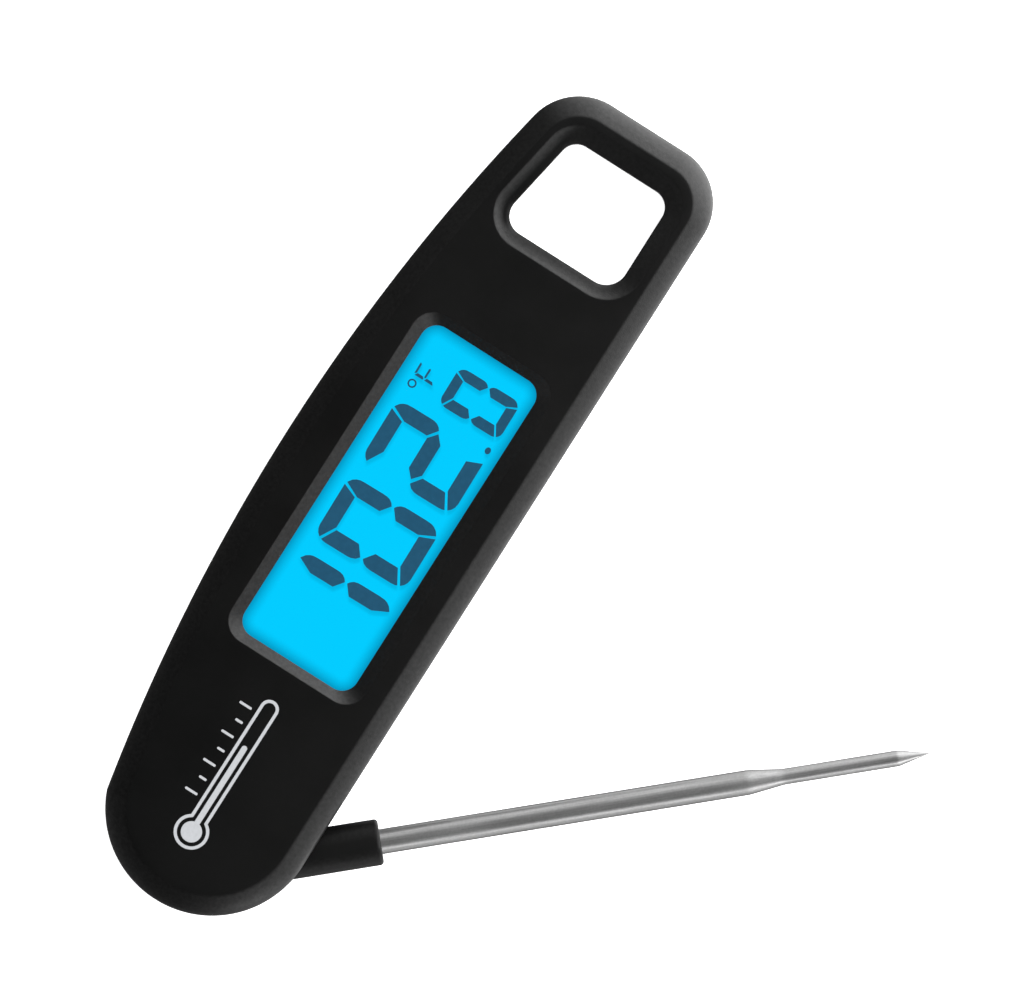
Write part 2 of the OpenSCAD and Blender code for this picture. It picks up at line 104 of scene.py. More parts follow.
def rounded(points, radii, steps=10):
    """A convex anticlockwise outline with each corner rounded by its own radius."""
    out = []
    for i, b in enumerate(points):
        u = (points[i - 1] - b).normalized()
        v = (points[(i + 1) % len(points)] - b).normalized()
        half = u.angle(v) / 2
        centre = b + (u + v).normalized() * (radii[i] / math.sin(half))
        first = b + u * (radii[i] / math.tan(half)) - centre
        start = math.degrees(math.atan2(first.y, first.x))
        out += arc(centre.x, centre.y, radii[i], start, start + 180 - 2 * math.degrees(half), steps)
    return out


def round_box(x0, y0, x1, y1, r, steps=10):
    corners = [Vector(p) for p in ((x0, y0), (x1, y0), (x1, y1), (x0, y1))]
    return rounded(corners, [r] * 4, steps)


def spaced(points, longest):
    """The outline with its long edges divided, so that no edge is longer than longest."""
    out = []
    for i, a in enumerate(points):
        b = points[(i + 1) % len(points)]
        n = max(1, math.ceil((b - a).length / longest))
        out += [a.lerp(b, k / n) for k in range(n)]
    return out


def body_outline():
    """Round hinge end, straight side, two top corners and a bowed side."""
    end_r, side_r, top_r, left_r = 16.5, 311.0, 9.2, 9.5
    bow = Vector((side_r - half_w, 1.7))
    end = Vector((half_w - end_r, end_r - half_l))
    left_y = half_l - left_r
    left = Vector((bow.x - math.sqrt((side_r - left_r) ** 2 - (left_y - bow.y) ** 2), left_y))
    across = bow - end
    along = (end_r ** 2 - side_r ** 2 + across.length_squared) / (2 * across.length)
    u = across.normalized()
    kink = end + u * along + Vector((u.y, -u.x)) * math.sqrt(end_r ** 2 - along ** 2)

    def angle(centre, point):
        return math.degrees(math.atan2(point.y - centre.y, point.x - centre.x))

    points = arc(end.x, end.y, end_r, angle(end, kink), 0, 72)
    points += arc(half_w - top_r, half_l - top_r, top_r, 0, 90, 36)
    points += arc(left.x, left.y, left_r, 90, angle(bow, left), 36)
    points += arc(bow.x, bow.y, side_r, angle(bow, left), 360 + angle(bow, kink), 72)[1:-1]
    return spaced(points, 2.5)


OUTLINE = body_outline()
HOLE_LEFT, HOLE_RIGHT, HOLE_LOW, HOLE_TOP = -8.95, 12.05, 46.1, 63.0
HOLE_LEAN = 0.18 * (HOLE_TOP - HOLE_LOW)
HOLE = rounded([Vector(p) for p in ((HOLE_LEFT, HOLE_LOW), (HOLE_RIGHT, HOLE_LOW),
                                    (HOLE_RIGHT, HOLE_TOP), (HOLE_LEFT + HOLE_LEAN, HOLE_TOP))],
               [3.2, 3.5, 2.85, 2.8], 16)
HOLE = spaced(HOLE, 1.5)
WINDOW = (-9.51, -28.28, 10.89, 27.82)
WINDOW_R = 2.7


# ---------------------------------------------------------------- mesh helpers

def new_object(name, verts, faces):
    mesh = bpy.data.meshes.new(name)
    mesh.from_pydata([Vector(v) * MM for v in verts], [], faces)
    mesh.validate()
    thing = bpy.data.objects.new(name, mesh)
    bpy.context.scene.collection.objects.link(thing)
    return thing


def loft(name, rings):
    """A closed solid through rings of (outline, height), lowest first, with flat ends."""
    n = len(rings[0][0])
    verts = [(p.x, p.y, p.z + z if len(p) == 3 else z) for points, z in rings for p in points]
    faces = [tuple(reversed(range(n)))]
    for k in range(len(rings) - 1):
        low, top = k * n, (k + 1) * n
        faces += [(low + i, low + (i + 1) % n, top + (i + 1) % n, top + i) for i in range(n)]
    faces.append(tuple(range((len(rings) - 1) * n, len(rings) * n)))
    return new_object(name, verts, faces)


def profile_loft(name, outline, steps, way=1):
    """A loft of one outline through steps of (distance inwards, height)."""
    return loft(name, [(inset(outline, way * d), z) for d, z in steps])


def slab(outline, z0, z1):
    return loft("tool", [(outline, z0), (outline, z1)])


def block(x0, x1, y0, y1, z0, z1):
    return slab([Vector(p) for p in ((x0, y0), (x1, y0), (x1, y1), (x0, y1))], z0, z1)


def rod(x, y, r, z0, z1, steps=48):
    return slab(arc(x, y, r, 0, 360 * (steps - 1) / steps, steps - 1), z0, z1)


def turned(x, y, steps, sides=96):
    """A turned solid about a line along Z, through steps of (radius, height)."""
    return loft("tool", [(arc(x, y, r, 0, 360 * (sides - 1) / sides, sides - 1), z)
                         for r, z in steps])


def joined(name, things):
    """One object made of several closed meshes."""
    work = bmesh.new()
    for thing in things:
        work.from_mesh(thing.data)
        bpy.data.objects.remove(thing)
    mesh = bpy.data.meshes.new(name)
    work.to_mesh(mesh)
    work.free()
    whole = bpy.data.objects.new(name, mesh)
    bpy.context.scene.collection.objects.link(whole)
    return whole


def combine(target, tool, how="DIFFERENCE"):
    """Applies one boolean to target and removes the tool."""
    modifier = target.modifiers.new("combine", "BOOLEAN")
    modifier.operation = how
    modifier.solver = "EXACT"
    modifier.object = tool
    graph = bpy.context.evaluated_depsgraph_get()
    made = bpy.data.meshes.new_from_object(target.evaluated_get(graph))
    target.modifiers.remove(modifier)
    old, target.data = target.data, made
    bpy.data.meshes.remove(old)
    bpy.data.objects.remove(tool)
    return target


def cut(target, *tools):
    for tool in tools:
        combine(target, tool)
    return target


def add(target, *tools):
    for tool in tools:
        combine(target, tool, "UNION")
    return target


def tidy_shading(thing, angle=32, weighted=True):
    """Smooth shading with the edges sharper than angle kept, and flat faces kept flat."""
    mesh = thing.data
    work = bmesh.new()
    work.from_mesh(mesh)
    bmesh.ops.remove_doubles(work, verts=work.verts, dist=1e-7)
    bmesh.ops.recalc_face_normals(work, faces=work.faces)
    work.to_mesh(mesh)
    work.free()
    mesh.shade_smooth()
    mesh.set_sharp_from_angle(angle=math.radians(angle))
    if weighted:
        modifier = thing.modifiers.new("weighted", "WEIGHTED_NORMAL")
        modifier.keep_sharp = True
        modifier.weight = 100
    return thing


def paint(thing, material):
    thing.data.materials.clear()
    thing.data.materials.append(material)
    return thing


def finish_piece(thing, name, body, slot, material, *replaced):
    thing.name = name
    thing.data.name = name
    paint(thing, material)
    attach(thing, body)
    if replaced:
        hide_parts(*replaced)
    return thing


# ---------------------------------------------------------------- node helpers

class Nodes:
    """Short calls for building a node tree."""

    def __init__(self, owner):
        owner.use_nodes = True
        self.tree = owner.node_tree
        self.tree.nodes.clear()

    def add(self, kind, inputs=None, **settings):
        node = self.tree.nodes.new(kind)
        for key, value in settings.items():
            setattr(node, key, value)
        for key, value in (inputs or {}).items():
            if isinstance(value, bpy.types.NodeSocket):
                self.tree.links.new(value, node.inputs[key])
            else:
                node.inputs[key].default_value = value
        return node

    def math(self, operation, a, b=0.0, clamp=False):
        node = self.add("ShaderNodeMath", {0: a, 1: b}, operation=operation, use_clamp=clamp)
        return node.outputs[0]

    def ramp(self, value, low, high, out_low=0.0, out_high=1.0, smooth=True):
        node = self.add("ShaderNodeMapRange", {"Value": value, "From Min": low, "From Max": high,
                                               "To Min": out_low, "To Max": out_high},
                        interpolation_type="SMOOTHSTEP" if smooth else "LINEAR")
        return node.outputs["Result"]

    def mix(self, factor, a, b):
        node = self.add("ShaderNodeMix", data_type="RGBA")
        for index, value in ((0, factor), (6, a), (7, b)):
            if isinstance(value, bpy.types.NodeSocket):
                self.tree.links.new(value, node.inputs[index])
            else:
                node.inputs[index].default_value = value
        return node.outputs[2]


def grey(v):
    return (v, v, v, 1)


# ---------------------------------------------------------------- materials

def material(name):
    made = bpy.data.materials.new(name)
    return made, Nodes(made)


def surface(n, inputs, bump=None):
    shader = n.add("ShaderNodeBsdfPrincipled", inputs)
    if bump is not None:
        n.tree.links.new(bump, shader.inputs["Normal"])
    output = n.add("ShaderNodeOutputMaterial")
    n.tree.links.new(shader.outputs[0], output.inputs["Surface"])
    return shader


# How the moulding's gloss changes, as a share for each metre along X and Y: a painted sheen that stands in for
# uneven light
PAINTED_SHEEN_X, PAINTED_SHEEN_Y = 12.0, 3.6


def moulded_black(name, base, smooth_rough, slope_rough, grain_depth, shine=0.5):
    """Black moulded plastic: smooth, with a fine grain where it slopes. Its gloss goes from
    about half its middle value at the hinge end of the bowed side to one and a half times that
    at the far corner. That stands in for uneven light, and isn't a trait of the plastic."""
    made, n = material(name)
    where = n.add("ShaderNodeTexCoord")
    place = where.outputs["Object"]
    tilt = n.add("ShaderNodeSeparateXYZ", {0: where.outputs["Normal"]}).outputs["Z"]
    slope = n.ramp(n.math("ABSOLUTE", tilt), 0.999, 0.985)
    fine = n.add("ShaderNodeTexNoise", {"Vector": place, "Scale": 5200.0, "Detail": 3.0,
                                        "Roughness": 0.6})
    broad = n.add("ShaderNodeTexNoise", {"Vector": place, "Scale": 60.0, "Detail": 3.0})
    shade = n.mix(n.ramp(broad.outputs["Fac"], 0.3, 0.7), grey(base * 0.88), grey(base * 1.12))
    rough = n.math("ADD", n.ramp(slope, 0, 1, smooth_rough, slope_rough),
                   n.ramp(broad.outputs["Fac"], 0.3, 0.7, -0.02, 0.02))
    at = n.add("ShaderNodeSeparateXYZ", {0: place})
    # painted sheen: the gloss rises along X and Y, standing in for uneven light
    painted_sheen = n.math("ADD", n.math("MULTIPLY", at.outputs["X"], PAINTED_SHEEN_X),
                    n.math("MULTIPLY", at.outputs["Y"], PAINTED_SHEEN_Y))
    mottle = n.add("ShaderNodeTexNoise", {"Vector": place, "Scale": 1700.0, "Detail": 2.0})
    uneven = n.math("MULTIPLY", n.ramp(mottle.outputs["Fac"], 0.25, 0.75, -0.16, 0.16, False), slope)
    gloss = n.math("MULTIPLY", n.math("ADD", n.math("ADD", painted_sheen, uneven), 1.0), shine, clamp=True)
    bump = n.add("ShaderNodeBump", {"Height": fine.outputs["Fac"],
                                    "Strength": n.ramp(slope, 0, 1, 0.02, grain_depth),
                                    "Distance": 0.00008})
    surface(n, {"Base Color": shade, "Roughness": rough, "Specular IOR Level": gloss},
            bump.outputs[0])
    return made


def brushed_steel(name, base, axis, rough=0.26, metallic=1.0, rim=1.0):
    """Drawn steel with fine lines along axis, and faint cloudy wear."""
    made, n = material(name)
    where = n.add("ShaderNodeTexCoord").outputs["Object"]
    turn = Vector((1, 0, 0)).rotation_difference(axis).to_euler()
    local = n.add("ShaderNodeVectorRotate", {"Vector": where, "Rotation": turn},
                  rotation_type="EULER_XYZ", invert=True).outputs[0]
    squeezed = n.add("ShaderNodeMapping", {"Vector": local, "Scale": (0.02, 1, 1)}).outputs[0]
    lines = n.add("ShaderNodeTexNoise", {"Vector": squeezed, "Scale": 5200.0, "Detail": 4.0})
    speck = n.add("ShaderNodeTexNoise", {"Vector": local, "Scale": 2600.0, "Detail": 3.0})
    cloud = n.add("ShaderNodeTexNoise", {"Vector": local, "Scale": 90.0, "Detail": 2.0})
    tone = n.math("ADD", n.math("MULTIPLY", lines.outputs["Fac"], 0.6),
                  n.math("MULTIPLY", speck.outputs["Fac"], 0.4))
    shade = n.mix(n.ramp(tone, 0.35, 0.65), grey(base * 0.86), grey(base * 1.1))
    roughness = n.ramp(cloud.outputs["Fac"], 0.3, 0.7, rough - 0.04, rough + 0.05)
    bump = n.add("ShaderNodeBump", {"Height": tone, "Strength": 0.12, "Distance": 0.00003})
    surface(n, {"Base Color": shade, "Metallic": metallic, "Roughness": roughness,
                "Specular Tint": grey(rim)}, bump.outputs[0])
    return made


def speckled(name, colour, rough, metallic=0.0, scale=900.0, spread=0.12, depth=0.1):
    """A plain moulded, stamped or cast finish with slight mottling and a fine bump."""
    made, n = material(name)
    where = n.add("ShaderNodeTexCoord").outputs["Object"]
    noise = n.add("ShaderNodeTexNoise", {"Vector": where, "Scale": scale, "Detail": 3.0})
    dark = tuple(c * (1 - spread) for c in colour) + (1,)
    light = tuple(min(1, c * (1 + spread)) for c in colour) + (1,)
    shade = n.mix(n.ramp(noise.outputs["Fac"], 0.3, 0.7), dark, light)
    roughness = n.ramp(noise.outputs["Fac"], 0.3, 0.7, rough * 0.9, rough * 1.1)
    bump = n.add("ShaderNodeBump", {"Height": noise.outputs["Fac"], "Strength": depth,
                                    "Distance": 0.00005})
    surface(n, {"Base Color": shade, "Metallic": metallic, "Roughness": roughness},
            bump.outputs[0])
    return made


def clear_plastic(name, tint, rough):
    """Clear moulding with very slight surface waviness."""
    made, n = material(name)
    where = n.add("ShaderNodeTexCoord").outputs["Object"]
    wave = n.add("ShaderNodeTexNoise", {"Vector": where, "Scale": 30.0, "Detail": 1.0})
    bump = n.add("ShaderNodeBump", {"Height": wave.outputs["Fac"], "Strength": 0.02,
                                    "Distance": 0.00005})
    surface(n, {"Base Color": tint, "Roughness": rough, "IOR": 1.45,
                "Transmission Weight": 1.0}, bump.outputs[0])
    return made


# Lit colours as seen through the clear window; the second is the painted shade at the rim and the painted shadow
# beside the figures
LIT = (0.0, 0.604, 1.0, 1)
LIT_IN_SHADE = (0.0, 0.3, 0.53, 1)
FIGURE = (0.0185, 0.093, 0.171, 1)
WINDOW_GAIN = 1.07


def lit_display(name):
    """The glowing field: an even cyan that a stored painted shade darkens at its rim and a painted shadow darkens
    beside the figures.
    """
    made, n = material(name)
    dim = n.add("ShaderNodeAttribute", attribute_name="dim").outputs["Fac"]
    # painted shade and painted shadow: the stored dim value darkens the glow towards its darker cyan
    colour = n.mix(dim, LIT, LIT_IN_SHADE)
    surface(n, {"Base Color": grey(0.0), "Roughness": 0.6, "Specular IOR Level": 0.0,
                "Emission Color": colour, "Emission Strength": WINDOW_GAIN})
    return made


def figure_ink(name):
    """The dark liquid crystal, which a little of the light still comes through."""
    made, n = material(name)
    where = n.add("ShaderNodeTexCoord").outputs["Object"]
    noise = n.add("ShaderNodeTexNoise", {"Vector": where, "Scale": 1500.0, "Detail": 2.0})
    dark = tuple(c * 0.95 for c in FIGURE[:3]) + (1,)
    light = tuple(c * 1.05 for c in FIGURE[:3]) + (1,)
    colour = n.mix(n.ramp(noise.outputs["Fac"], 0.3, 0.7), dark, light)
    surface(n, {"Base Color": grey(0.0), "Roughness": 0.6, "Specular IOR Level": 0.0,
                "Emission Color": colour, "Emission Strength": WINDOW_GAIN})
    return made


def circuit_green(name):
    """Solder mask over faint square tracks."""
    made, n = material(name)
    where = n.add("ShaderNodeTexCoord").outputs["Object"]
    brick = n.add("ShaderNodeTexBrick", {"Vector": where, "Color1": (0.02, 0.2, 0.07, 1),
                                         "Color2": (0.025, 0.24, 0.09, 1),
                                         "Mortar": (0.05, 0.32, 0.13, 1), "Scale": 420.0,
                                         "Mortar Size": 0.03})
    surface(n, {"Base Color": brick.outputs["Color"], "Roughness": 0.35})
    return made


def banded_rubber(name):
    """Connector strip: conductive black and pink layers in turn."""
    made, n = material(name)
    where = n.add("ShaderNodeTexCoord").outputs["Object"]
    bands = n.add("ShaderNodeTexWave", {"Vector": where, "Scale": 1200.0, "Distortion": 0.0},
                  bands_direction="X")
    shade = n.mix(n.ramp(bands.outputs["Fac"], 0.4, 0.6), (0.75, 0.4, 0.4, 1), grey(0.05))
    surface(n, {"Base Color": shade, "Roughness": 0.7})
    return made


mats = {
    "black_plastic": moulded_black("black_plastic", 0.0013, 0.36, 0.42, 0.35),
    "arm_plastic": moulded_black("arm_plastic", 0.0013, 0.5, 0.55, 0.25, 0.27),
    "needle_steel": brushed_steel("needle_steel", 0.4, stem_dir, 0.34, 0.87, 0.15),
    "screw_steel": speckled("screw_steel", (0.55, 0.55, 0.56), 0.3, 1.0),
    "battery_steel": speckled("battery_steel", (0.62, 0.62, 0.6), 0.28, 1.0),
    "contact_brass": speckled("contact_brass", (0.75, 0.55, 0.24), 0.3, 1.0),
    "magnet_nickel": speckled("magnet_nickel", (0.68, 0.66, 0.62), 0.2, 1.0),
    "seal_rubber": speckled("seal_rubber", (0.02, 0.02, 0.02), 0.75),
    "button_rubber": speckled("button_rubber", (0.014, 0.014, 0.015), 0.62, scale=3000.0),
    "pink_rubber": banded_rubber("pink_rubber"),
    "clear_window": clear_plastic("clear_window", (1, 1, 1, 1), 0.02),
    "reed_glass": clear_plastic("reed_glass", (0.6, 0.85, 0.7, 1), 0.03),
    "lcd_body": speckled("lcd_body", (0.3, 0.36, 0.36), 0.12),
    "lit_display": lit_display("lit_display"),
    "figure_ink": figure_ink("figure_ink"),
    "grey_print": speckled("grey_print", (0.36, 0.37, 0.385), 0.5, scale=2500.0, spread=0.04),
    "white_plastic": speckled("white_plastic", (0.82, 0.83, 0.83), 0.5, spread=0.04),
    "circuit_board": circuit_green("circuit_board"),
    "black_resin": speckled("black_resin", (0.012, 0.012, 0.012), 0.22),
    "potting_resin": speckled("potting_resin", (0.6, 0.52, 0.36), 0.4),
    "ceramic_parts": speckled("ceramic_parts", (0.42, 0.31, 0.2), 0.5),
    "lead_insulation": speckled("lead_insulation", (0.5, 0.02, 0.02), 0.4),
    "bushing_plastic": speckled("bushing_plastic", (0.7, 0.69, 0.62), 0.4, spread=0.05),
}
slot_of = {s["node"]: s["material_slot"] for s in frame["record"]["subparts"]}
for node_name, thing in nodes.items():
    slot_name = slot_of[node_name]
    paint(thing, mats["lcd_body" if slot_name == "lcd" else slot_name])


# ---------------------------------------------------------------- plan shapes inside the covers

WALL = 2.0
POCKET = {"x": 11.0, "y": pivot.y + 16.9, "low": 4.0, "top": 12.8}
SLOT = {"x": 12.7, "y": pivot.y + 102.9, "low": 5.9, "top": 10.9}
FAR = 60.0


def half_space_box(x, y0, y1, z0, z1):
    return block(-FAR, x, y0, y1, z0, z1)


def dry_space(z0, z1, grow=0.0):
    """The sealed room for the electronics, grown outwards by grow."""
    room = slab(inset(OUTLINE, WALL - grow), z0, z1)
    limits = half_space_box(SLOT["x"] - 1.5 + grow, POCKET["y"] + 1.2 - grow, 41.5 + grow,
                            z0 - 1, z1 + 1)
    add(limits, half_space_box(POCKET["x"] - 1.5 + grow, -FAR * 2, 41.5 + grow, z0 - 1, z1 + 1))
    return combine(room, limits, "INTERSECT")


def loop_hollow(z0, z1):
    """The room in the frame round the hanging hole."""
    room = slab(inset(OUTLINE, WALL), z0, z1)
    return cut(room, slab(inset(HOLE, -1.9), z0 - 1, z1 + 1),
               block(-FAR, FAR, -FAR * 2, 44.3, z0 - 1, z1 + 1),
               block(11, FAR, 40, 49.2, z0 - 1, z1 + 1))


def probe_space(target):
    """Cuts the pocket of the arm and the slot of the needle."""
    return cut(target, block(POCKET["x"], FAR, -FAR * 2, POCKET["y"], POCKET["low"], POCKET["top"]),
               block(SLOT["x"], FAR, POCKET["y"] - 1, SLOT["y"], SLOT["low"], SLOT["top"]))


SCREWS = [(3, 66.8), (-13.2, 38.5), (-12.6, -37.5), (2, -65), (8.2, 40.4)]
BOARD_SCREWS = [(-8.4, 35.2), (8.8, 35.2), (-6, -36.6), (6.6, -36.6)]
DOOR = (-2.5, 19.0)
LUG_R, LUG_LOW, PLUG_TOP = 11.9, 2.25, 2.95
LUG_STARTS = (-10, 110, 230)
BUTTON = (-0.5, -14.0)


# ---------------------------------------------------------------- housing

ROOF = face_z - 1.8  # inside of the front wall
FLOOR = 1.8  # inside of the back wall
DISPLAY_LOW = 12.1  # underside of the room for the display

# The front edge as (distance inwards, height), from the parting line's small groove to the face
EDGE = [(0.12, parting), (0, parting + 0.12), (0, face_z - 2.75), (0.05, face_z - 2.3),
        (0.15, face_z - 1.99), (0.3, face_z - 1.73), (0.5, face_z - 1.5), (0.85, face_z - 1.195),
        (1.2, face_z - 0.955), (1.6, face_z - 0.722), (2.0, face_z - 0.514),
        (2.7, cover_top - 0.177), (2.9, cover_top - 0.092), (3.05, cover_top - 0.042),
        (3.2, cover_top - 0.0105), (3.35, cover_top), (4.2, cover_top)]
CROWN = 0.022  # how far the frame round the hanging hole falls away to its edge
CREST = (2.6, 4.0)  # the distances inwards between which it does


def front_edge():
    """The bevel round the front, whose crest is softer round the hanging hole."""
    rings = []
    for d, z in EDGE:
        ring = []
        for p in inset(OUTLINE, d):
            fall = CROWN * smooth((p.y - 38) / 12) if CREST[0] < d < CREST[1] else 0.0
            ring.append(Vector((p.x, p.y, -fall)))
        rings.append((ring, z))
    return rings


# The dish in steps from the face inwards: share of its width, slope in degrees in general and
# slope inside its left wall
DISH = [(0.03, 2, 4), (0.03, 7, 12), (0.04, 15, 22), (0.10, 23, 28), (0.09, 22.5, 26),
        (0.11, 17.2, 21), (0.10, 16, 16), (0.11, 14, 9), (0.11, 12.6, 4), (0.23, 11, 1),
        (0.05, 22, 22)]
DISH_W = 2.75
DISH_SHIFT = Vector((0, 0.35))


def dish_falls():
    """Steps of (share of the width from the hole, fall, fall inside the left wall)."""
    steps = [(1.03, -1.0, -1.0), (1.0, 0.0, 0.0)]
    for share, slope, slope_left in DISH:
        t, fall, fall_left = steps[-1]
        steps.append((t - share, fall + share * DISH_W * math.tan(math.radians(slope)),
                      fall_left + share * DISH_W * math.tan(math.radians(slope_left))))
    return reversed(steps)


def hole_dish():
    """The dish round the hanging hole. It is flatter inside its left wall."""
    outward = [(b - a).normalized() for a, b in zip(HOLE, inset(HOLE, -1))]
    leftness = [smooth((-way.x - 0.35) / 0.5) for way in outward]
    rings = [(HOLE, parting - 1), (HOLE, cover_top - 1.0)]
    for t, fall, fall_left in dish_falls():
        ring = []
        for p, left in zip(inset(HOLE, -t * DISH_W), leftness):
            q = p + DISH_SHIFT * t
            ring.append(Vector((q.x, q.y, -(fall + (fall_left - fall) * left))))
        rings.append((ring, cover_top))
    return loft("tool", rings)


def surround():
    """The sloping wall round the display window."""
    x0, y0, x1, y1 = WINDOW
    rings = [(round_box(x0, y0, x1, y1, WINDOW_R), ROOF)]
    for left, right, low, top, radius, z in (
            (0.0, 0.0, 0.0, 0.0, WINDOW_R, face_z - 1.3),
            (0.05, 0.05, 0.05, 0.05, WINDOW_R, face_z - 1.24),
            (1.86, 2.03, 1.52, 1.56, 3.6, cover_top - 0.05),
            (1.95, 2.12, 1.61, 1.65, 3.7, cover_top - 0.012),
            (2.06, 2.23, 1.72, 1.76, 3.8, cover_top),
            (2.1, 2.27, 1.76, 1.8, 3.84, face_z + 1)):
        rings.append((round_box(x0 - left, y0 - low, x1 + right, y1 + top, radius), z))
    return loft("tool", rings)


def front_cover():
    shell = loft("front", front_edge())
    cut(shell, hole_dish(), surround(), dry_space(parting - 1, ROOF),
        loop_hollow(parting - 1, face_z - 4), block(-11.5, 12.9, -31.8, 30.6, DISPLAY_LOW, ROOF))
    add(shell, *[rod(x, y, 2.5, parting, face_z - (3.9 if y > 45 else 1.7)) for x, y in SCREWS])
    add(shell, *[rod(x, y, 1.8, 9.6, face_z - 1.7) for x, y in BOARD_SCREWS])
    probe_space(shell)
    cut(shell, rod(pivot.x, pivot.y, 2.7, POCKET["top"] - 1, face_z - 1.6),
        block(8, pivot.x, pivot.y - 0.8, pivot.y + 0.8, POCKET["top"] - 0.1, face_z - 1.6))
    cut(shell, *[rod(x, y, 1.02, parting - 1, face_z - 4.4, 32) for x, y in SCREWS])
    cut(shell, *[rod(x, y, 0.72, 9, 13, 32) for x, y in BOARD_SCREWS])
    tidy_shading(shell)
    return finish_piece(shell, "front_cover_moulding", "housing", "black_plastic",
                        mats["black_plastic"], "front_cover")


# The back edge and the hole's back edge, as (distance, height)
BACK_EDGE = [(2.7, 0), (2.2, 0.03), (1.7, 0.13), (1.25, 0.31), (0.85, 0.56), (0.52, 0.9),
             (0.28, 1.32), (0.12, 1.85), (0.03, 2.5), (0, 3.2), (0, parting - 0.12),
             (0.12, parting)]
HOLE_BACK = [(1.45, -0.1), (1.35, 0), (0.95, 0.08), (0.6, 0.25), (0.32, 0.5), (0.12, 0.85),
             (0.02, 1.3), (0, 1.7), (0, parting + 0.1)]


def fan(x, y, r, start, span):
    """A sector of a disc, as an outline."""
    return [Vector((x, y))] + arc(x, y, r, start, start + span, 8)


def screw_well(x, y):
    """The counterbore of a cover screw, with a small chamfer at its mouth."""
    return turned(x, y, [(2.35, -0.1), (2.3, 0.0), (2.1, 0.2), (2.1, 2.4), (1.15, 2.4),
                         (1.15, parting + 0.1)], 48)


def back_cover():
    x, y = DOOR
    shell = profile_loft("back", OUTLINE, BACK_EDGE)
    cut(shell, profile_loft("tool", HOLE, HOLE_BACK, -1), dry_space(FLOOR, parting + 0.1),
        loop_hollow(WALL, parting + 0.1))
    add(shell, *[rod(a, b, 2.5, 1.7, parting) for a, b in SCREWS])
    add(shell, rod(x, y, 13.4, 1.7, 6.6, 96), rod(*BUTTON, 5.6, 1.7, 3.6, 64))
    cut(shell, rod(*BUTTON, 4.5, FLOOR, 3.7, 64),
        turned(*BUTTON, [(3.75, -0.1), (3.7, 0), (3.5, 0.2), (3.5, 1.9)], 64))
    probe_space(shell)
    cut(shell, rod(pivot.x, pivot.y, 2.7, 1.6, POCKET["low"] + 1))
    cut(shell, *[screw_well(a, b) for a, b in SCREWS])
    cut(shell, turned(x, y, [(12.75, -0.1), (12.7, 0), (12.45, 0.25), (12.45, 1.4), (10.95, 1.4),
                             (10.95, 2.2), (12.05, 2.2), (12.05, 3.0), (10.3, 3.0), (10.3, 6.7)]))
    cut(shell, *[slab(fan(x, y, LUG_R + 0.07, start - 28, 24), 1.3, LUG_LOW) for start in LUG_STARTS])
    cut(shell, rod(x, y + 14.4, 0.7, -0.1, 0.4, 24))
    tidy_shading(shell)
    return finish_piece(shell, "back_cover_moulding", "housing", "black_plastic",
                        mats["black_plastic"], "back_cover")


def battery_door():
    """The coin-slotted door, with a dimple that meets the housing's when it is shut."""
    x, y = DOOR
    lid = turned(x, y, [(11.8, 0.1), (12.05, 0.13), (12.22, 0.22), (12.3, 0.4), (12.3, 1.1),
                        (10.8, 1.1), (10.8, PLUG_TOP)], 128)
    add(lid, *[slab(fan(x, y, LUG_R, start, 20), LUG_LOW, PLUG_TOP) for start in LUG_STARTS])
    slot = round_box(x - 6.5, y - 0.9, x + 6.5, y + 0.9, 0.6)
    slot_edge = [(0.5, 0), (0.45, 0.1), (0.18, 0.22), (0.0, 0.5), (0.0, 0.9)]
    cut(lid, profile_loft("tool", slot, slot_edge, -1), rod(x, y + 9.6, 0.7, 0, 0.5, 24))
    tidy_shading(lid)
    return finish_piece(lid, "battery_door_moulding", "battery_door", "black_plastic",
                        mats["black_plastic"], "battery_door")


def unit_button():
    cap = turned(*BUTTON, [(1.7, 0.35), (1.7, 0.5), (1.8, 0.55), (2.0, 0.55), (2.1, 0.5),
                           (2.1, 0.35), (2.9, 0.36), (3.15, 0.41), (3.32, 0.53), (3.4, 0.75),
                           (3.4, 1.87), (4.4, 1.87), (4.4, 2.5), (1.5, 2.5), (1.5, 6.1)], 64)
    tidy_shading(cap)
    return finish_piece(cap, "unit_button_cap", "unit_button", "button_rubber",
                        mats["button_rubber"], "unit_button")


def cover_screws():
    screws = []
    for x, y in SCREWS:
        screw = turned(x, y, [(1.5, 0.9), (1.72, 0.95), (1.86, 1.08), (1.9, 1.3), (1.9, 2.4),
                              (1.0, 2.4), (1.0, 12.5)], 48)
        cut(screw, block(x - 1.2, x + 1.2, y - 0.2, y + 0.2, 0.8, 1.7),
            block(x - 0.2, x + 0.2, y - 1.2, y + 1.2, 0.8, 1.7))
        screws.append(screw)
    thing = tidy_shading(joined("screws", screws))
    return finish_piece(thing, "cover_screw_set", "housing", "screw_steel",
                        mats["screw_steel"], "cover_screws")


front_cover()
back_cover()
battery_door()
unit_button()
cover_screws()


# ---------------------------------------------------------------- display
# Reading space has x along object +Y and y along object -X, as the figures are read.

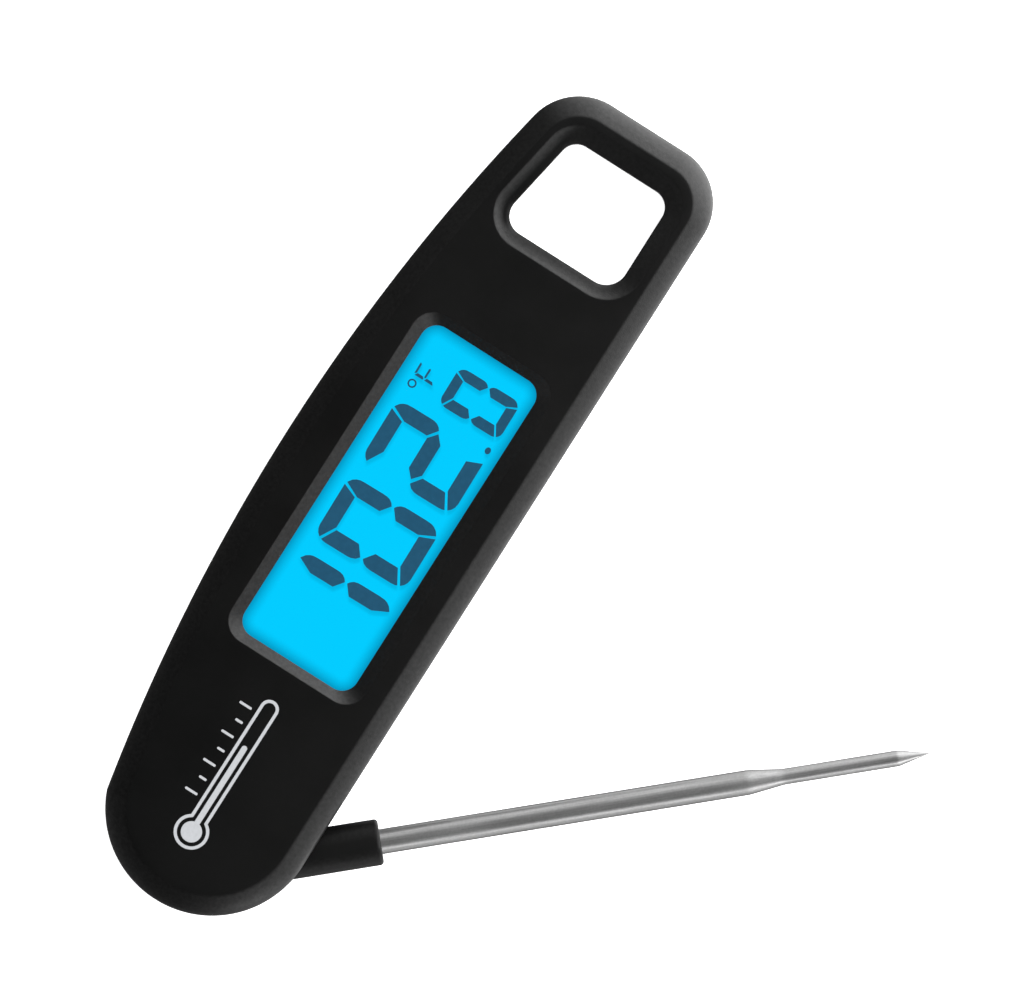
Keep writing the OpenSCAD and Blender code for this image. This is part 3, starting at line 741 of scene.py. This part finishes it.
def digit_bars(half_w, half_h, k):
    """The seven bars of a figure about its centre, in reading space with x to the right and
    y up. k scales the bars' thickness and their cut and rounded ends."""
    w, h = half_w, half_h
    top = [(-w + 0.365 * k, h - 0.92 * k), (-w + 0.8 * k, h - 0.45 * k),
           (-w + 1.35 * k, h - 0.13 * k), (-w + 2.0 * k, h), (w - 1.755 * k, h),
           (w - 2.755 * k, h - 2.43 * k), (-w + 2.935 * k, h - 2.43 * k)]
    right = [(w - 2.565 * k, h - 2.7 * k), (w - 2.565 * k, 1.45 * k), (w - 0.985 * k, 0.21 * k),
             (w - 0.55 * k, 0.52 * k), (w - 0.2 * k, 1.0 * k), (w - 0.03 * k, 1.6 * k),
             (w, 2.3 * k), (w, h - 2.6 * k), (w - 0.06 * k, h - 1.75 * k),
             (w - 0.25 * k, h - 1.2 * k), (w - 0.6 * k, h - 0.68 * k), (w - 1.315 * k, h - 0.15 * k)]
    left = [(-w + 0.2 * k, h - 1.32 * k), (-w + 0.06 * k, h - 1.7 * k), (-w, h - 2.3 * k),
            (-w, 2.0 * k), (-w + 0.08 * k, 1.4 * k), (-w + 0.35 * k, 0.75 * k),
            (-w + 0.9 * k, 0.22 * k), (-w + 2.575 * k, 1.5 * k), (-w + 2.575 * k, h - 2.66 * k)]
    middle = [(-w + 1.55 * k, 0), (-w + 2.9 * k, -1.2 * k), (w - 2.85 * k, -1.2 * k),
              (w - 1.45 * k, 0), (w - 2.85 * k, 1.2 * k), (-w + 2.9 * k, 1.2 * k)]
    bars = {"top": top, "top_right": right, "top_left": left, "middle": middle}
    for name in ("top", "top_right", "top_left"):
        bars[name.replace("top", "bottom")] = [(x, -y) for x, y in bars[name]]
    return bars


FIGURES = {
    "0": ("top", "bottom", "top_right", "top_left", "bottom_right", "bottom_left"),
    "1": ("top_right", "bottom_right"),
    "2": ("top", "top_right", "middle", "bottom_left", "bottom"),
}
# Each figure with its centre, half width, half height and bar scale
READING = [("1", -18.1, -1.29, 5.545, 8.2, 1.0), ("0", -4.41, -1.13, 5.545, 8.2, 1.0),
           ("2", 9.3, -1.03, 5.555, 8.22, 1.0), ("0", 20.8, -3.73, 3.35, 5.475, 0.66)]
PRINT_TURN = math.radians(0.85)
UNIT_BARS = [[(19.17, 5.62), (19.4, 5.6), (19.65, 5.85), (19.65, 6.75), (19.22, 7.08),
              (19.17, 6.9)],
             [(19.17, 3.8), (19.65, 4.15), (19.65, 5.1), (19.2, 5.38)],
             [(19.4, 7.25), (19.62, 6.93), (21.1, 6.95), (21.32, 7.2), (21.2, 7.28)],
             [(19.52, 5.46), (19.68, 5.3), (21.1, 5.3), (21.24, 5.46), (21.1, 5.62), (19.68, 5.62)]]
DOT = (15.33, -8.74, 0.56, 0.46)  # centre and half axes
DEGREE = (17.84, 6.68, 0.71, 0.45)  # centre, outer and inner radius


def reading_outlines():
    """The outlines of the reading, in reading space, where x is object +Y and y is -X."""
    shapes = []
    for figure, x, y, half_w, half_h, k in READING:
        turn = Matrix.Rotation(PRINT_TURN, 2)
        bars = digit_bars(half_w, half_h, k)
        for key in FIGURES[figure]:
            shapes.append([turn @ Vector(p) + Vector((x, y)) for p in bars[key]])
    x, y, a, b = DOT
    shapes.append([Vector((x + a * p.x, y + b * p.y)) for p in arc(0, 0, 1, 0, 345, 23)])
    return shapes + [[Vector(p) for p in bar] for bar in UNIT_BARS]


def to_object(points):
    return [Vector((-p.y, p.x)) for p in points]


def signed_distance(p, polygon):
    """Distance from p to a closed polygon, below zero inside."""
    nearest = 1e9
    inside = False
    for i, a in enumerate(polygon):
        b = polygon[i - 1]
        edge = b - a
        t = max(0.0, min(1.0, (p - a).dot(edge) / edge.length_squared))
        nearest = min(nearest, (p - a - edge * t).length)
        if (a.y > p.y) != (b.y > p.y) and p.x < (b.x - a.x) * (p.y - a.y) / (b.y - a.y) + a.x:
            inside = not inside
    return -nearest if inside else nearest


def round_box_depth(p, x0, y0, x1, y1, r):
    """How far p is inside a rounded box."""
    cx, cy = (x0 + x1) / 2, (y0 + y1) / 2
    qx = abs(p.x - cx) - (x1 - x0) / 2 + r
    qy = abs(p.y - cy) - (y1 - y0) / 2 + r
    return r - math.hypot(max(qx, 0), max(qy, 0)) - min(max(qx, qy), 0)


GLASS_TOP = box_mm("lcd_glass")[1].z
FIELD_Z = GLASS_TOP + 0.05
FIGURE_TOP = FIELD_Z + 0.03

# Where the figures' shadow falls, and how it fades on the way there
SHADOW = Vector((0.4, -0.64))
SHADOW_STEPS = ((0.35, 0.5), (0.7, 0.42), (1.0, 0.34))  # share of the way, darkness


def shadow_at(p, cast):
    dark = 0.0
    for shape, amount, (x0, x1, y0, y1) in cast:
        if x0 - 0.3 < p.x < x1 + 0.3 and y0 - 0.3 < p.y < y1 + 0.3:
            away = signed_distance(p, shape)
            dark = max(dark, amount * smooth(0.5 - away / 0.5))
    return dark


def display_field(shapes):
    """The lit sheet on the glass. A painted shade stored at its points dims it at the rim, and a painted
    shadow dims it beside the figures, where their shadow falls on the layer behind."""
    x0, y0, x1, y1 = -10.5, -29.5, 12.2, 29.6
    step = 0.16
    nx, ny = round((x1 - x0) / step), round((y1 - y0) / step)
    cast = []
    for share, amount in SHADOW_STEPS:
        for shape in shapes:
            moved = [q + SHADOW * share for q in shape]
            xs, ys = [q.x for q in moved], [q.y for q in moved]
            cast.append((moved, amount, (min(xs), max(xs), min(ys), max(ys))))
    verts, dims = [], []
    for j in range(ny + 1):
        for i in range(nx + 1):
            p = Vector((x0 + (x1 - x0) * i / nx, y0 + (y1 - y0) * j / ny))
            depth = max(0.0, round_box_depth(p, *WINDOW, WINDOW_R))
            # painted shade: the glow dims over the last 2.1 mm towards the window's rim
            rim = max(0.0, 1 - depth / 2.1) ** 1.4
            verts.append((p.x, p.y, FIELD_Z))
            dims.append(max(rim, shadow_at(p, cast)))
    row = nx + 1
    faces = [(j * row + i, j * row + i + 1, (j + 1) * row + i + 1, (j + 1) * row + i)
             for j in range(ny) for i in range(nx)]
    count = len(verts)
    verts += [(x, y, GLASS_TOP) for x, y in ((x0, y0), (x1, y0), (x1, y1), (x0, y1))]
    rims = [[i for i in range(row)], [j * row + nx for j in range(ny + 1)],
            [ny * row + i for i in reversed(range(row))], [j * row for j in reversed(range(ny + 1))]]
    for k, edge in enumerate(rims):
        faces.append((count + k, count + (k + 1) % 4) + tuple(reversed(edge)))
    faces.append((count + 3, count + 2, count + 1, count))
    sheet = new_object("field", verts, faces)
    stored = sheet.data.attributes.new("dim", "FLOAT", "POINT")
    stored.data.foreach_set("value", dims + [0.0] * 4)
    return finish_piece(sheet, "display_field", "housing", "lcd", mats["lit_display"])


def prisms(name, outlines, z0, z1):
    """One object made of a flat prism on each outline."""
    verts, faces = [], []
    for points in outlines:
        n, first = len(points), len(verts)
        verts += [(p.x, p.y, z) for z in (z0, z1) for p in points]
        faces.append(tuple(first + i for i in reversed(range(n))))
        faces.append(tuple(first + n + i for i in range(n)))
        faces += [(first + i, first + (i + 1) % n, first + n + (i + 1) % n, first + n + i)
                  for i in range(n)]
    return new_object(name, verts, faces)


def band(outer, inner, z0, z1):
    """A flat ring between two outlines with the same number of points."""
    n = len(outer)
    verts = [(p.x, p.y, z) for z in (z0, z1) for points in (outer, inner) for p in points]
    faces = []
    for i in range(n):
        j = (i + 1) % n
        faces += [(i, j, 2 * n + j, 2 * n + i), (n + j, n + i, 3 * n + i, 3 * n + j),
                  (2 * n + i, 2 * n + j, 3 * n + j, 3 * n + i), (j, i, n + i, n + j)]
    return new_object("band", verts, faces)


def display_figures(shapes):
    x, y, outer, inner = DEGREE
    ring = band(to_object(arc(x, y, outer, 0, 350, 35)), to_object(arc(x, y, inner, 0, 350, 35)),
                FIELD_Z, FIGURE_TOP)
    thing = joined("figures", [prisms("bars", shapes, FIELD_Z, FIGURE_TOP), ring])
    return finish_piece(thing, "display_figures", "housing", "display_print", mats["figure_ink"])


figure_shapes = [to_object(s) for s in reading_outlines()]
display_field(figure_shapes)
display_figures(figure_shapes)


# ---------------------------------------------------------------- printed pictogram

def stem_and_bulb(x, y, bulb, half, end):
    """A thermometer's outline lying along x, with its bulb at (x, y) and a round end."""
    meet = math.degrees(math.asin(half / bulb))
    return arc(x, y, bulb, meet, 360 - meet, 40) + arc(end - half, y, half, -90, 90, 16)


def pictogram():
    """A plain thermometer sign with a scale, printed below the display."""
    x, y = -58.6, -1.7
    z0, z1 = cover_top, face_z
    outer = stem_and_bulb(x, y, 2.75, 1.5, -34.8)
    glass = band(to_object(outer), to_object(inset(outer, 0.5)), z0, z1)
    column = [to_object(stem_and_bulb(x, y, 1.65, 0.45, -43.0))]
    marks = [to_object(round_box(-53.5 + 2.6 * k, y + 2.3, -53.1 + 2.6 * k,
                                 y + (3.6 if k % 2 else 4.5), 0.15, 3)) for k in range(7)]
    thing = joined("sign", [glass, prisms("solid", column + marks, z0, z1)])
    return finish_piece(thing, "printed_sign", "housing", "grey_print", mats["grey_print"])


pictogram()


# ---------------------------------------------------------------- needle and arm

def along(distance, side, height):
    """A point at a distance along the needle, to one side of it and above its axis."""
    across = Vector((-stem_dir.y, stem_dir.x, 0))
    return pivot + stem_dir * distance + across * side + Vector((0, 0, height))


def lathe(name, profile, steps=96):
    """A surface of revolution about the needle's axis through (distance, radius) pairs."""
    verts, faces = [], []
    n = len(profile)
    for k in range(steps):
        t = 2 * math.pi * k / steps
        verts += [along(d, r * math.cos(t), r * math.sin(t)) for d, r in profile]
    for k in range(steps):
        a, b = k * n, (k + 1) % steps * n
        faces += [(a + i, a + (i + 1) % n, b + (i + 1) % n, b + i) for i in range(n)]
    return new_object(name, verts, faces)


def needle():
    reach = 101.885  # a hair inside the CAD node's point
    r, q = 1.95, 1.25
    neck_start, neck_end, point = reach - 28.4, reach - 22.8, reach - 5.0
    soft = 0.5
    outside = [(9.2, 2.5), (9.6, 2.5), (10.0, r), (neck_start - soft, r),
               (neck_start, r - 0.01), (neck_start + soft, r - 0.06),
               (neck_end - soft, q + 0.06), (neck_end, q + 0.01), (neck_end + soft, q),
               (point - 0.3, q), (point, q - 0.01), (point + 0.3, q - 0.06),
               (reach - 0.35, 0.13), (reach - 0.1, 0.08), (reach - 0.02, 0.035), (reach, 0.0005)]
    inside = [(reach - 2.0, 0.0005), (point - 1, q - 0.3), (neck_end, q - 0.3),
              (neck_start, r - 0.4), (9.2, r - 0.4)]
    tube = lathe("needle", outside + inside)
    tidy_shading(tube, 40, weighted=False)
    return finish_piece(tube, "needle", "probe", "needle_steel", mats["needle_steel"], "probe_tube")


needle()

ARM_REACH, ARM_HALF, ARM_T = 16.2, 3.6, 4.0


def arm_ring(half, end):
    """The arm's plan outline: round at the hinge, with two small corners at the needle's end."""
    corner = min(0.6, half * 0.9)
    return (arc(0, 0, half, 90, 270, 48) + arc(end - corner, corner - half, corner, -90, 0, 6)
            + arc(end - corner, half - corner, corner, 0, 90, 6))


def arm_half(way):
    """One half of the arm, whose section is a squarish ellipse with a rounded end edge."""
    steps, squareness, edge = 26, 2.8, 0.7
    rings = []
    for k in range(steps):
        t = math.radians(90 * k / (steps - 0.5))
        half = ARM_HALF * math.cos(t) ** (2 / squareness)
        z = ARM_T * math.sin(t) ** (2 / squareness)
        over = max(0.0, z - ARM_T + edge) / edge
        end = ARM_REACH - edge * (1 - math.sqrt(1 - min(1.0, over) ** 2))
        rings.append((arm_ring(half, end), z))
    half = loft("arm", rings)
    trunnion_end = (14.6 - pivot.z) if way > 0 else (pivot.z - 1.9)
    add(half, rod(0, 0, 1.95, ARM_T - 1.0, trunnion_end, 64))
    if way < 0:
        half.data.transform(Matrix.Scale(-1, 4, (0, 0, 1)))
        half.data.flip_normals()
    bore = Matrix.Rotation(math.radians(90), 4, "Y")
    tools = []
    for r, x0, length in ((1.97, 9.0, 20.0), (2.52, 9.0, 1.0)):
        tool = rod(0, 0, r, 0, length, 64)
        tool.data.transform(Matrix.Translation((x0 * MM, 0, 0)) @ bore)
        tools.append(tool)
    tools.append(block(-1, 9.2, -1.5, 1.5, -1.2, 1.5))
    tools.append(rod(0, 0, 1.1, -1, 20) if way > 0 else rod(5, 0, 1.55, -3.4, 1))
    cut(half, *tools)
    turn = Matrix.Rotation(math.atan2(stem_dir.y, stem_dir.x), 4, "Z")
    half.data.transform(Matrix.Translation(pivot * MM) @ turn)
    tidy_shading(half, 32)
    name = "front" if way > 0 else "rear"
    return finish_piece(half, "arm_" + name, "probe", "arm_plastic", mats["arm_plastic"],
                        "probe_arm_" + name)


arm_half(1)
arm_half(-1)


# ---------------------------------------------------------------- floor, light and camera

def studio_floor():
    """A pale floor that is bright enough to show as white, shadow and all."""
    floor = new_object("floor", [(-2500, -2500, 0), (2500, -2500, 0), (2500, 2500, 0),
                                 (-2500, 2500, 0)], [(0, 1, 2, 3)])
    made, n = material("floor")
    where = n.add("ShaderNodeTexCoord").outputs["Object"]
    noise = n.add("ShaderNodeTexNoise", {"Vector": where, "Scale": 3.0})
    surface(n, {"Base Color": n.mix(noise.outputs["Fac"], grey(0.88), grey(0.9)),
                "Roughness": 0.9, "Specular IOR Level": 0.0, "Emission Color": grey(1.0),
                "Emission Strength": 0.92})
    paint(floor, made)
    floor.location.z = -0.0002
    floor.visible_glossy = False
    floor.visible_transmission = False
    floor.visible_diffuse = False


# Soft boxes, as azimuth and elevation in degrees, tightness and strength
MAIN_BOX = (67.2, 1.4, 1.414, 4.02)
SIDE_BOX = (-32, 17.9, 30.0, 5.0)
TABLE_GLOW = (-7.7, -5, 2.0, 1.58)
FAR_WALL = (-131.2, -7.65, 2.35, 0.535)
ROOM = 0.02


def studio_world():
    """A dim room with a broad soft box beyond the upper right of the object, a small one beyond
    the lower right and their glow on the table. The camera itself sees plain white."""
    world = bpy.data.worlds.new("studio")
    bpy.context.scene.world = world
    n = Nodes(world)
    ray = n.add("ShaderNodeTexCoord").outputs["Generated"]
    height = n.add("ShaderNodeSeparateXYZ", {0: ray}).outputs[2]

    def lobe(azimuth, elevation, tightness, strength, masked):
        a, e = math.radians(azimuth), math.radians(elevation)
        middle = (math.cos(e) * math.cos(a), math.cos(e) * math.sin(a), math.sin(e))
        towards = n.add("ShaderNodeVectorMath", {0: ray, 1: middle},
                        operation="DOT_PRODUCT").outputs["Value"]
        glow = n.math("POWER", n.math("MAXIMUM", towards, 0.0), tightness)
        return n.math("MULTIPLY", n.math("MULTIPLY", glow, strength), masked)

    not_overhead = n.ramp(height, 0.786, 0.968, 1.0, 0.0)
    under = n.ramp(height, -0.3, 0.2, 1.0, 0.0)
    total = n.ramp(height, -0.3, 0.2, 0.0, ROOM)
    for box, masked in ((MAIN_BOX, not_overhead), (SIDE_BOX, not_overhead), (TABLE_GLOW, under),
                        (FAR_WALL, 1.0)):
        total = n.math("ADD", total, lobe(*box, masked))
    lit = n.add("ShaderNodeBackground", {"Color": grey(1.0), "Strength": total})
    seen = n.add("ShaderNodeBackground", {"Color": grey(1.0), "Strength": 1.0})
    eye = n.add("ShaderNodeLightPath").outputs["Is Camera Ray"]
    both = n.add("ShaderNodeMixShader", {0: eye, 1: lit.outputs[0], 2: seen.outputs[0]})
    out = n.add("ShaderNodeOutputWorld")
    n.tree.links.new(both.outputs[0], out.inputs["Surface"])


def overhead_light():
    """A wide soft light for the matt surfaces and the floor. It leaves no glossy reflection."""
    lamp = bpy.data.lights.new("overhead", "AREA")
    lamp.shape = "DISK"
    lamp.size = 1.6
    lamp.energy = 30.0
    holder = bpy.data.objects.new("overhead", lamp)
    holder.location = (0.25, 0.35, 1.5)
    holder.rotation_euler = (Vector((0, 0, 0)) - holder.location).to_track_quat("-Z", "Y").to_euler()
    holder.visible_glossy = False
    holder.visible_transmission = False
    bpy.context.scene.collection.objects.link(holder)


def photo_camera():
    """A long lens looking straight down on the face, turned so that the body leans right."""
    distance = 6000.0
    view_w = 157.54
    lens = bpy.data.cameras.new("camera")
    lens.sensor_width = 36.0
    lens.lens = lens.sensor_width * distance / view_w
    lens.clip_start = 0.1
    lens.clip_end = 50.0
    holder = bpy.data.objects.new("camera", lens)
    holder.location = Vector((15.9, 11.0, face_z + distance)) * MM
    holder.rotation_euler = (0, 0, math.radians(32.44))
    bpy.context.scene.collection.objects.link(holder)
    bpy.context.scene.camera = holder


studio_floor()
studio_world()
overhead_light()
photo_camera()
bpy.context.scene.view_settings.view_transform = "Standard"
